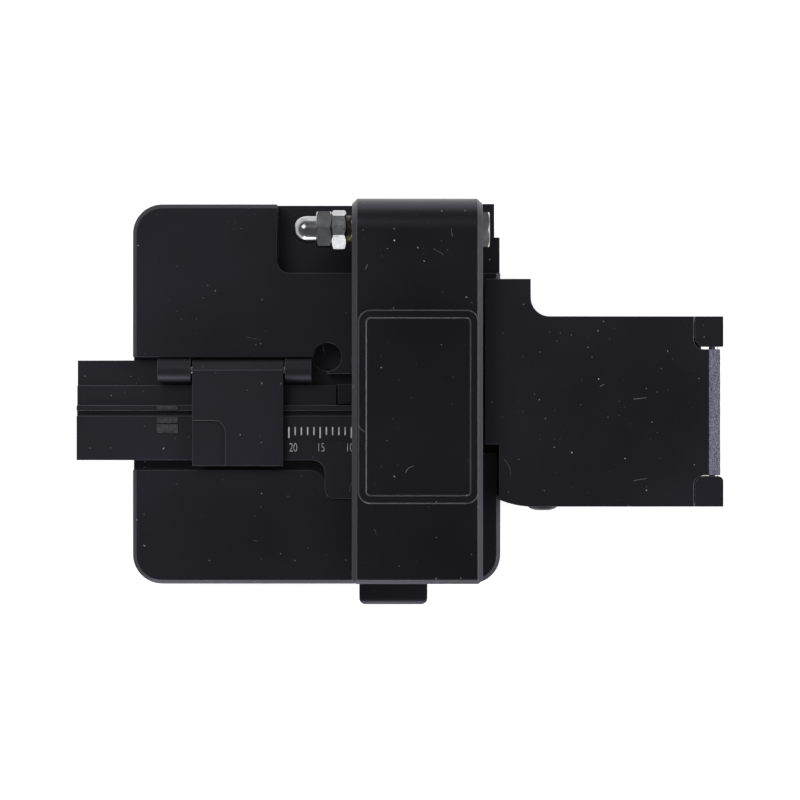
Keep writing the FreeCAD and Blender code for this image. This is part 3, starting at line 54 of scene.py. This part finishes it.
cameraData = bpy.data.cameras.new("camera")
cameraData.sensor_width = cameraValues["sensor"]
cameraData.lens = cameraValues["sensor"] * cameraValues["distance"] / cameraValues["width"]
cameraData.clip_start = 0.01
camera = bpy.data.objects.new("camera", cameraData)
camera.location = [c * mm for c in cameraValues["centre"]]
camera.location.z += cameraValues["distance"] * mm
bpy.context.scene.collection.objects.link(camera)
bpy.context.scene.camera = camera
bpy.context.scene.view_settings.view_transform = "Standard"


# materials

def linear(hexColour):
    channels = [int(hexColour[i:i + 2], 16) / 255 for i in (1, 3, 5)]
    return [c / 12.92 if c <= 0.04045 else ((c + 0.055) / 1.055) ** 2.4 for c in channels] + [1.0]


def addNode(tree, kind, settings=None, **links):
    node = tree.nodes.new(kind)
    for key, setting in (settings or {}).items():
        if isinstance(key, int) or key in node.inputs:
            node.inputs[key].default_value = setting
        else:
            setattr(node, key, setting)
    for socket, source in links.items():
        spot = int(socket[1:]) if socket[0] == "n" and socket[1:].isdigit() else socket.replace("_", " ")
        tree.links.new(source, node.inputs[spot])
    return node


def newMaterial(name):
    material = bpy.data.materials.new(name)
    material.use_nodes = True
    material.node_tree.nodes.clear()
    return material, material.node_tree


def rampBetween(tree, source, low, high, first, last):
    ramp = addNode(tree, "ShaderNodeValToRGB", Fac=source)
    ramp.color_ramp.elements[0].position = low
    ramp.color_ramp.elements[0].color = first
    ramp.color_ramp.elements[1].position = high
    ramp.color_ramp.elements[1].color = last
    return ramp.outputs["Color"]


def noise(tree, place, size, detail, **more):
    settings = {"Scale": 1 / (size * mm), "Detail": detail, **more}
    return addNode(tree, "ShaderNodeTexNoise", settings, Vector=place)


def maths(tree, operation, first, second=None):
    node = addNode(tree, "ShaderNodeMath", {"operation": operation}, n0=first)
    if isinstance(second, float):
        node.inputs[1].default_value = second
    elif second is not None:
        tree.links.new(second, node.inputs[1])
    return node.outputs[0]


def mapped(tree, source, fromLow, fromHigh, toLow, toHigh):
    limits = {"From Min": fromLow, "From Max": fromHigh, "To Min": toLow, "To Max": toHigh}
    return addNode(tree, "ShaderNodeMapRange", limits, Value=source).outputs["Result"]


def tinted(tree, amount, under, hexColour):
    cover = {"data_type": "RGBA", 7: linear(hexColour)}
    return addNode(tree, "ShaderNodeMix", cover, n0=amount, n6=under).outputs[2]


def bumped(tree, strength, depth, height, **links):
    settings = {"Strength": strength, "Distance": depth * mm}
    return addNode(tree, "ShaderNodeBump", settings, Height=height, **links).outputs["Normal"]


def surface(tree, settings, **links):
    shader = addNode(tree, "ShaderNodeBsdfPrincipled", settings, **links)
    addNode(tree, "ShaderNodeOutputMaterial", Surface=shader.outputs["BSDF"])


def dustSpecks(tree, place, values):
    # one ragged speck to a cell, and many cells with none
    ragged = noise(tree, place, values["raggedSize"], 1.0).outputs["Color"]
    shift = {"operation": "SCALE", "Scale": values["raggedShift"] * mm}
    ragged = addNode(tree, "ShaderNodeVectorMath", shift, n0=ragged).outputs["Vector"]
    ragged = addNode(tree, "ShaderNodeVectorMath", {"operation": "ADD"}, n0=place, n1=ragged)
    spacing = {"Scale": 1 / (values["dustSpacing"] * mm)}
    dust = addNode(tree, "ShaderNodeTexVoronoi", spacing, Vector=ragged.outputs["Vector"])
    near = values["dustSize"] / values["dustSpacing"]
    chance = addNode(tree, "ShaderNodeSeparateColor", n0=dust.outputs["Color"])
    size = mapped(tree, chance.outputs[0], values["dustLeast"], 1.0, 0.0, near)
    speck = maths(tree, "LESS_THAN", dust.outputs["Distance"], size)
    strength = maths(tree, "POWER", chance.outputs[1], values["dustFade"])
    return maths(tree, "MULTIPLY", speck, strength)


def hairScratches(tree, place, values):
    # thin contour lines of a slow noise, kept only in scattered patches
    flow = noise(tree, place, values["hairFlow"], 1.0).outputs["Fac"]
    offLine = maths(tree, "ABSOLUTE", maths(tree, "SUBTRACT", flow, 0.5))
    hair = maths(tree, "LESS_THAN", offLine, values["hairWide"])
    patch = noise(tree, place, values["patchSize"], 0.0).outputs["Fac"]
    patch = maths(tree, "GREATER_THAN", patch, values["patchLeast"])
    return maths(tree, "MULTIPLY", maths(tree, "MULTIPLY", hair, patch), values["hairShow"])


def anodised(name, values):
    # bead blasted, then dyed and sealed: a fine satin grain with slow shifts in depth
    material, tree = newMaterial(name)
    place = addNode(tree, "ShaderNodeTexCoord").outputs["Object"]
    cloud = noise(tree, place, values["cloudSize"], 3.0).outputs["Fac"]
    grit = noise(tree, place, values["gritSize"], 2.0).outputs["Fac"]
    dyed = rampBetween(tree, cloud, 0.35, 0.65, linear(values["dark"]), linear(values["light"]))
    speck = dustSpecks(tree, place, values)
    scratch = hairScratches(tree, place, values)
    marks = maths(tree, "MULTIPLY", maths(tree, "MAXIMUM", speck, scratch), values["dustShow"])
    colour = tinted(tree, marks, dyed, values["dustColour"])
    rough = mapped(tree, cloud, 0.3, 0.7, values["rough"] - 0.05, values["rough"] + 0.06)
    # painted edge highlight: a light lavender-grey laid on a thin rim along every edge, standing in for
    # light caught by the edges; the bevel normal itself is real shading
    edge = addNode(tree, "ShaderNodeBevel", {"samples": 6, "Radius": values["edge"] * mm}).outputs["Normal"]
    flat = addNode(tree, "ShaderNodeNewGeometry").outputs["Normal"]
    turn = addNode(tree, "ShaderNodeVectorMath", {"operation": "DOT_PRODUCT"}, n0=edge, n1=flat)
    wornInkAndEdgeHighlight = mapped(tree, turn.outputs["Value"], values["edgeHighlightStart"], values["edgeHighlightFull"], 0.0, values["inkWearAndEdgeHighlight"])
    colour = tinted(tree, wornInkAndEdgeHighlight, colour, values["edgeHighlightColour"])
    bump = bumped(tree, values["bump"], values["gritDeep"], grit, Normal=edge)
    surface(tree, {"IOR": values["ior"], "Specular Tint": linear(values["sheen"])},
            Base_Color=colour, Roughness=rough, Normal=bump)
    return material


def metal(name, values):
    # turned or plated metal: fine lathe lines or plating haze in the roughness and a faint bump
    material, tree = newMaterial(name)
    place = addNode(tree, "ShaderNodeTexCoord").outputs["Object"]
    stretch = addNode(tree, "ShaderNodeMapping", {"Scale": values["stretch"]}, Vector=place)
    lines = noise(tree, stretch.outputs["Vector"], values["lineSize"], 3.0).outputs["Fac"]
    cloud = noise(tree, place, values["cloudSize"], 3.0).outputs["Fac"]
    tint = rampBetween(tree, cloud, 0.35, 0.7, linear(values["dark"]), linear(values["light"]))
    rough = mapped(tree, lines, 0.3, 0.7, values["rough"] * 0.75, values["rough"] * 1.3)
    bump = bumped(tree, values["bump"], values["lineDeep"], lines)
    surface(tree, {"Metallic": 1.0}, Base_Color=tint, Roughness=rough, Normal=bump)
    return material


def rubber(name, values):
    # moulded rubber: matt, with a pebbled skin and a little bloom
    material, tree = newMaterial(name)
    place = addNode(tree, "ShaderNodeTexCoord").outputs["Object"]
    grain = noise(tree, place, values["grainSize"], 4.0, Roughness=0.7).outputs["Fac"]
    tint = rampBetween(tree, grain, 0.35, 0.68, linear(values["dark"]), linear(values["light"]))
    bump = bumped(tree, values["bump"], values["grainDeep"], grain)
    surface(tree, {"Roughness": values["rough"]}, Base_Color=tint, Normal=bump)
    return material


# the edge keys set a painted edge highlight, a light lavender-grey tint on a thin rim along the edges,
# strongest on the arm
anodiseValues = {"cloudSize": 26.0, "gritSize": 0.16, "gritDeep": 0.02, "bump": 0.12, "rough": 0.42,
                 "ior": 1.5, "dustSpacing": 1.05, "dustSize": 0.1, "dustLeast": 0.35,
                 "dustFade": 2.0, "dustShow": 0.8, "dustColour": "#c8c8cc",
                 "raggedSize": 0.35, "raggedShift": 0.45,
                 "hairFlow": 14.0, "hairWide": 0.0006, "hairShow": 0.4, "patchSize": 3.4, "patchLeast": 0.73,
                 "edge": 0.18, "inkWearAndEdgeHighlight": 0.22, "edgeHighlightStart": 0.985, "edgeHighlightFull": 0.86, "edgeHighlightColour": "#9c9ba8",
                 "sheen": "#ebe6ff"}
plateValues = {**anodiseValues, "dark": "#0b0b0e", "light": "#121116", "rough": 0.52}
armValues = {**anodiseValues, "dark": "#060608", "light": "#0a090c", "rough": 0.33, "dustSpacing": 0.95,
             "edge": 0.14, "inkWearAndEdgeHighlight": 0.75}
caseValues = {**anodiseValues, "dark": "#09090c", "light": "#0f0e13", "rough": 0.4, "dustSpacing": 0.85}
nickelValues = {"stretch": (1, 1, 1), "lineSize": 0.25, "lineDeep": 0.02, "cloudSize": 2.5, "rough": 0.16,
                "bump": 0.08, "dark": "#8f9093", "light": "#b6b7ba"}
steelValues = {**nickelValues, "stretch": (1, 0.05, 1), "lineSize": 0.12, "rough": 0.28, "dark": "#8d8d8f",
               "light": "#b5b5b6"}
blackSteelValues = {**nickelValues, "rough": 0.38, "dark": "#141415", "light": "#232325"}
carbideValues = {**nickelValues, "lineSize": 0.08, "rough": 0.22, "dark": "#77777c", "light": "#94949a"}
blackRubberValues = {"dark": "#0f0f10", "light": "#1d1d1e", "rough": 0.72, "bump": 0.5, "grainSize": 0.35,
                     "grainDeep": 0.08}
greyRubberValues = {"dark": "#18181d", "light": "#3e3e47", "rough": 0.65, "bump": 0.8, "grainSize": 0.3,
                    "grainDeep": 0.08}

baseFinish = anodised("blackAnodisedBase", {**anodiseValues, "dark": "#08080b", "light": "#0f0e13"})
plateFinish = anodised("blackAnodisedPlate", plateValues)
armFinish = anodised("blackAnodisedArm", armValues)
caseFinish = anodised("blackAnodisedCollector", caseValues)
nickelFinish = metal("brightNickelPlate", nickelValues)
steelFinish = metal("groundSteel", steelValues)
blackSteelFinish = metal("blackOxideSteel", blackSteelValues)
brassFinish = metal("plainBrass", {**nickelValues, "rough": 0.46, "dark": "#2b291f", "light": "#4b4735"})
carbideFinish = metal("lappedCarbide", carbideValues)
magnetFinish = metal("platedMagnet", {**nickelValues, "rough": 0.2, "dark": "#a5a5a5", "light": "#c6c6c6"})
blackRubberFinish = rubber("blackNitrileRubber", blackRubberValues)
greyRubberFinish = rubber("greySiliconeRubber", greyRubberValues)
slotFinish = {"black_anodised": baseFinish, "nickel_steel": nickelFinish, "bare_steel": steelFinish,
              "black_steel": blackSteelFinish, "brass": brassFinish, "carbide": carbideFinish,
              "black_rubber": blackRubberFinish, "grey_rubber": greyRubberFinish, "magnet": magnetFinish}
ownFinish = {"fibre_plate": plateFinish, "flap": plateFinish, "arm": armFinish, "hinge_block": armFinish,
             "collector_case": caseFinish, "collector_cover": caseFinish}
print("stage: materials made")


# finishes on the frame's own parts

def paint(thing, finish):
    if not thing.material_slots:
        thing.data.materials.append(finish)
    for place in thing.material_slots:
        place.material = finish


for name, thing in nodes.items():
    given = thing.material_slots[0].material.name.split(".")[0] if thing.material_slots else ""
    paint(thing, ownFinish.get(name) or slotFinish.get(given, baseFinish))
print("stage: frame parts finished")


def finishPiece(piece, name, body, finish):
    if bpy.context.mode != "OBJECT":
        bpy.ops.object.mode_set(mode="OBJECT")
    bpy.ops.object.select_all(action="DESELECT")
    piece.select_set(True)
    bpy.context.view_layer.objects.active = piece
    bpy.ops.object.transform_apply(location=True, rotation=True, scale=True)
    piece.name = name
    piece.data.name = name
    paint(piece, finish)
    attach(piece, body)
    bpy.ops.object.select_all(action="DESELECT")
    return piece


def joined(pieces):
    bpy.ops.object.select_all(action="DESELECT")
    for piece in pieces:
        piece.select_set(True)
    bpy.context.view_layer.objects.active = pieces[0]
    bpy.ops.object.join()
    return pieces[0]


# raised panel on the arm: a rounded frame with a chamfered edge, round a field let in a little lower

panelValues = {"corner": 1.95, "cornerSteps": 10, "chamfer": 0.17, "rimWide": 1.1, "stepWide": 0.12,
               "stepDeep": 0.12}


def selectWhere(piece, pick):
    mesh = bmesh.from_edit_mesh(piece.data)
    chosen = pick(mesh)
    for part in list(mesh.verts) + list(mesh.edges) + list(mesh.faces):
        part.select = False
    for part in chosen:
        part.select = True
    mesh.select_flush_mode()
    bmesh.update_edit_mesh(piece.data)


def boxBetween(low, high):
    bpy.ops.mesh.primitive_cube_add(size=1, location=(Vector(low) + Vector(high)) / 2)
    piece = bpy.context.object
    piece.scale = Vector(high) - Vector(low)
    bpy.ops.object.transform_apply(location=True, rotation=False, scale=True)
    bpy.ops.object.mode_set(mode="EDIT")
    return piece


def uprightEdges(mesh):
    return [edge for edge in mesh.edges if abs(edge.verts[0].co.z - edge.verts[1].co.z) > tiny]


def topEdges(mesh, top):
    return [edge for edge in mesh.edges if min(vert.co.z for vert in edge.verts) > top - tiny]


def upFaces(mesh):
    return [face for face in mesh.faces if face.normal.z > 0.9]


panelLow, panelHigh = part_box("arm_top_plate")
armPanel = boxBetween(panelLow, panelHigh)
bpy.ops.mesh.select_mode(type="EDGE")
selectWhere(armPanel, uprightEdges)
bpy.ops.mesh.bevel(offset=panelValues["corner"] * mm, segments=panelValues["cornerSteps"], affect="EDGES")
selectWhere(armPanel, lambda mesh: topEdges(mesh, panelHigh[2]))
bpy.ops.mesh.bevel(offset=panelValues["chamfer"] * mm, segments=1, affect="EDGES")
bpy.ops.mesh.select_mode(type="FACE")
selectWhere(armPanel, upFaces)
bpy.ops.mesh.inset(thickness=panelValues["rimWide"] * mm)
bpy.ops.mesh.inset(thickness=panelValues["stepWide"] * mm)
bpy.ops.transform.translate(value=(0, 0, -panelValues["stepDeep"] * mm))
finishPiece(armPanel, "arm_panel", "arm", armFinish)
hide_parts("arm_top_plate")
print("stage: arm panel")


# printed length scale on the fibre plate

scaleValues = {"first": -20, "last": -8, "start": -2.17, "short": -3.46, "long": -3.94, "wide": 0.2,
               "thick": 0.02, "figures": {"20": -20.0, "15": -15.58, "10": -10.95}, "figureFoot": -6.11,
               "figureTall": 1.42, "figureThin": 0.045, "capShare": 0.7, "narrow": 0.7, "spacing": 0.95}
inkValues = {"wearSize": 0.3, "wornInkAndEdgeHighlight": "#9a9a9d", "fresh": "#cdcdcf", "rough": 0.6}


def inkFinish():
    # screen printed white enamel: a thin matt film, slightly broken at its edges
    material, tree = newMaterial("whiteScreenInk")
    place = addNode(tree, "ShaderNodeTexCoord").outputs["Object"]
    inkWearAndEdgeHighlight = noise(tree, place, inkValues["wearSize"], 2.0).outputs["Fac"]
    tint = rampBetween(tree, inkWearAndEdgeHighlight, 0.3, 0.6, linear(inkValues["wornInkAndEdgeHighlight"]), linear(inkValues["fresh"]))
    surface(tree, {"Roughness": inkValues["rough"]}, Base_Color=tint)
    return material


ink = inkFinish()
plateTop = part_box("fibre_plate")[1][2]
ticks = []
for mark in range(scaleValues["first"], scaleValues["last"] + 1):
    end = scaleValues["long"] if mark % 5 == 0 else scaleValues["short"]
    middle = Vector((mark * mm, (scaleValues["start"] + end) / 2 * mm, plateTop))
    bpy.ops.mesh.primitive_plane_add(size=1, location=middle)
    tick = bpy.context.object
    tick.scale = (scaleValues["wide"] * mm, (scaleValues["start"] - end) * mm, 1)
    bpy.ops.object.transform_apply(location=True, rotation=False, scale=True)
    bpy.ops.object.mode_set(mode="EDIT")
    bpy.ops.mesh.extrude_region_move(TRANSFORM_OT_translate={"value": (0, 0, scaleValues["thick"] * mm)})
    bpy.ops.mesh.select_all(action="SELECT")
    bpy.ops.mesh.normals_make_consistent(inside=False)
    bpy.ops.object.mode_set(mode="OBJECT")
    ticks.append(tick)
finishPiece(joined(ticks), "scale_ticks", "base", ink)

figures = []
for words, left in scaleValues["figures"].items():
    bpy.ops.object.text_add(location=(left * mm, scaleValues["figureFoot"] * mm, plateTop))
    figure = bpy.context.object
    figure.data.body = words
    figure.data.size = scaleValues["figureTall"] * mm / scaleValues["capShare"]
    figure.data.space_character = scaleValues["spacing"]
    figure.data.offset = -scaleValues["figureThin"] * mm
    figure.data.extrude = scaleValues["thick"] * mm
    bpy.ops.object.convert(target="MESH")
    figure = bpy.context.object
    figure.scale = (scaleValues["narrow"], 1, 1)
    bpy.ops.object.transform_apply(location=True, rotation=True, scale=True)
    figures.append(figure)
finishPiece(joined(figures), "scale_figures", "base", ink)
print("stage: printed scale")


# guide pads: the frame's own pads with the torn edges of hand-cut rubber

padValues = {"cuts": 5, "weld": 0.002, "foot": 0.03, "tear": 0.07, "seed": 4}

guidePads = bpy.data.objects.new("guide_pad_rubber", nodes["guide_pads"].data.copy())
bpy.context.scene.collection.objects.link(guidePads)
guidePads.select_set(True)
bpy.context.view_layer.objects.active = guidePads
bpy.ops.object.mode_set(mode="EDIT")
bpy.ops.mesh.select_all(action="SELECT")
bpy.ops.mesh.remove_doubles(threshold=padValues["weld"] * mm)
bpy.ops.mesh.tris_convert_to_quads()
bpy.ops.mesh.subdivide(number_cuts=padValues["cuts"])
padFoot = min(vert.co.z for vert in bmesh.from_edit_mesh(guidePads.data).verts)
bpy.ops.mesh.select_mode(type="VERT")
padLine = padFoot + padValues["foot"] * mm
selectWhere(guidePads, lambda mesh: [vert for vert in mesh.verts if vert.co.z > padLine])
bpy.ops.transform.vertex_random(offset=padValues["tear"] * mm, uniform=0.0, normal=0.0,
                                seed=padValues["seed"])
finishPiece(guidePads, "guide_pad_rubber", "base", greyRubberFinish)
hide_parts("guide_pads")
print("stage: guide pads")


# grained slope along the cover's hinge barrel, left rough by the saw, painted a light violet-grey as a
# highlight for the light the slope catches from the right

barrelValues = {"slopeOut": 1.9, "slopeDown": 1.6, "front": -9.83, "rear": 10.26, "thick": 0.03,
                "cuts": 24, "tear": 0.03, "seed": 2}
grainValues = {"grainSize": 0.24, "grainDeep": 0.1, "bump": 0.8, "fineSize": 0.16, "dark": "#16161b",
               "light": "#6e6e85", "metallic": 0.15, "rough": 0.5}


def grainedFinish():
    # sawn aluminium: coarse bright and dark grains, painted light violet-grey as a highlight for the light
    # the slope catches
    material, tree = newMaterial("sawnEdgePaintedHighlight")
    place = addNode(tree, "ShaderNodeTexCoord").outputs["Object"]
    spacing = {"Scale": 1 / (grainValues["grainSize"] * mm)}
    grains = addNode(tree, "ShaderNodeTexVoronoi", spacing, Vector=place).outputs["Distance"]
    fine = noise(tree, place, grainValues["fineSize"], 3.0, Roughness=0.75).outputs["Fac"]
    # painted highlight: the light end of this ramp stands in for light caught by the sloped face, laid over
    # the real grain
    tint = rampBetween(tree, fine, 0.42, 0.6, linear(grainValues["dark"]), linear(grainValues["light"]))
    bump = bumped(tree, grainValues["bump"], grainValues["grainDeep"], grains)
    surface(tree, {"Metallic": grainValues["metallic"], "Roughness": grainValues["rough"]},
            Base_Color=tint, Normal=bump)
    return material


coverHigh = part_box("collector_cover")[1]
bpy.ops.mesh.primitive_plane_add(size=1)
barrelFace = bpy.context.object
bpy.ops.object.mode_set(mode="EDIT")
bpy.ops.mesh.select_mode(type="VERT")
face = bmesh.from_edit_mesh(barrelFace.data)
for corner in face.verts:
    outer = corner.co.x > 0
    corner.co = Vector((coverHigh[0] - (0 if outer else barrelValues["slopeOut"] * mm),
                        barrelValues["rear" if corner.co.y > 0 else "front"] * mm,
                        coverHigh[2] - (barrelValues["slopeDown"] * mm if outer else 0)))
bmesh.update_edit_mesh(barrelFace.data)
bpy.ops.mesh.select_all(action="SELECT")
bpy.ops.mesh.subdivide(number_cuts=barrelValues["cuts"])
bpy.ops.transform.vertex_random(offset=barrelValues["tear"] * mm, uniform=0.0, normal=1.0,
                                seed=barrelValues["seed"])
bpy.ops.transform.translate(value=(barrelValues["thick"] * mm, 0, barrelValues["thick"] * mm))
finishPiece(barrelFace, "cover_barrel_face", "collector_cover", grainedFinish())
print("stage: cover barrel face")


# floor, lamps and world

floorValues = {"size": 3.0, "drop": 0.0002, "fibreSize": 1.2, "dark": "#e6e6e6", "light": "#eeeeee",
               "lift": 0.62}


def floorFinish():
    # seamless white paper sweep: matt, seen pure white with the object's shadow kept
    material, tree = newMaterial("whitePaperFloor")
    place = addNode(tree, "ShaderNodeTexCoord").outputs["Object"]
    fibres = noise(tree, place, floorValues["fibreSize"], 3.0).outputs["Fac"]
    tint = rampBetween(tree, fibres, 0.2, 0.8, linear(floorValues["dark"]), linear(floorValues["light"]))
    paper = addNode(tree, "ShaderNodeBsdfDiffuse", Color=tint)
    path = addNode(tree, "ShaderNodeLightPath")
    seen = maths(tree, "MAXIMUM", path.outputs["Is Camera Ray"], path.outputs["Is Glossy Ray"])
    seen = maths(tree, "MAXIMUM", seen, path.outputs["Is Transmission Ray"])
    lift = maths(tree, "MULTIPLY", seen, floorValues["lift"])
    glow = addNode(tree, "ShaderNodeEmission", Strength=lift)
    both = addNode(tree, "ShaderNodeAddShader", n0=paper.outputs["BSDF"], n1=glow.outputs["Emission"])
    addNode(tree, "ShaderNodeOutputMaterial", Surface=both.outputs["Shader"])
    return material


bpy.ops.mesh.primitive_plane_add(size=floorValues["size"], location=(0, 0, -floorValues["drop"]))
floor = bpy.context.object
floor.name = "floor"
paint(floor, floorFinish())

aimHeight = 0.03
lampValues = {
    "upperLeft": {"at": (-0.42, 0.45, 0.85), "size": 0.5, "power": 2.6, "shine": True},
    "front": {"at": (-0.25, -1.0, 0.2), "size": 0.4, "power": 4.0, "shine": True},
    "rear": {"at": (0.1, 1.0, 0.16), "size": 0.4, "power": 2.5, "shine": False},
    "right": {"at": (0.9, -0.1, 0.5), "size": 0.5, "power": 6.0, "shine": True},
    "fill": {"at": (0.0, 0.0, 1.1), "size": 1.0, "power": 3.4, "shine": False},
}
for name, values in lampValues.items():
    data = bpy.data.lights.new(name, "AREA")
    data.size = values["size"]
    data.energy = values["power"]
    lamp = bpy.data.objects.new(name, data)
    lamp.location = values["at"]
    aim = Vector((0, 0, aimHeight)) - Vector(values["at"])
    lamp.rotation_euler = aim.to_track_quat("-Z", "Y").to_euler()
    lamp.visible_glossy = values["shine"]
    bpy.context.scene.collection.objects.link(lamp)

# a white tent, bright at its walls and open above: height and brightness of each step
tentSteps = ((0.0, 1.4), (1.0, 0.15), (0.14, 1.25), (0.3, 0.26))
world = bpy.data.worlds.new("tent")
bpy.context.scene.world = world
world.use_nodes = True
world.node_tree.nodes.clear()
tree = world.node_tree
around = addNode(tree, "ShaderNodeTexCoord").outputs["Generated"]
height = addNode(tree, "ShaderNodeSeparateXYZ", Vector=around).outputs["Z"]
wall = addNode(tree, "ShaderNodeValToRGB", Fac=height)
for index, (spot, level) in enumerate(tentSteps):
    step = wall.color_ramp.elements[index] if index < 2 else wall.color_ramp.elements.new(spot)
    step.position = spot
    step.color = (level, level, level, 1)
tent = addNode(tree, "ShaderNodeBackground", {"Strength": 1.0}, Color=wall.outputs["Color"])
addNode(tree, "ShaderNodeOutputWorld", Surface=tent.outputs["Background"])
print("stage: studio")
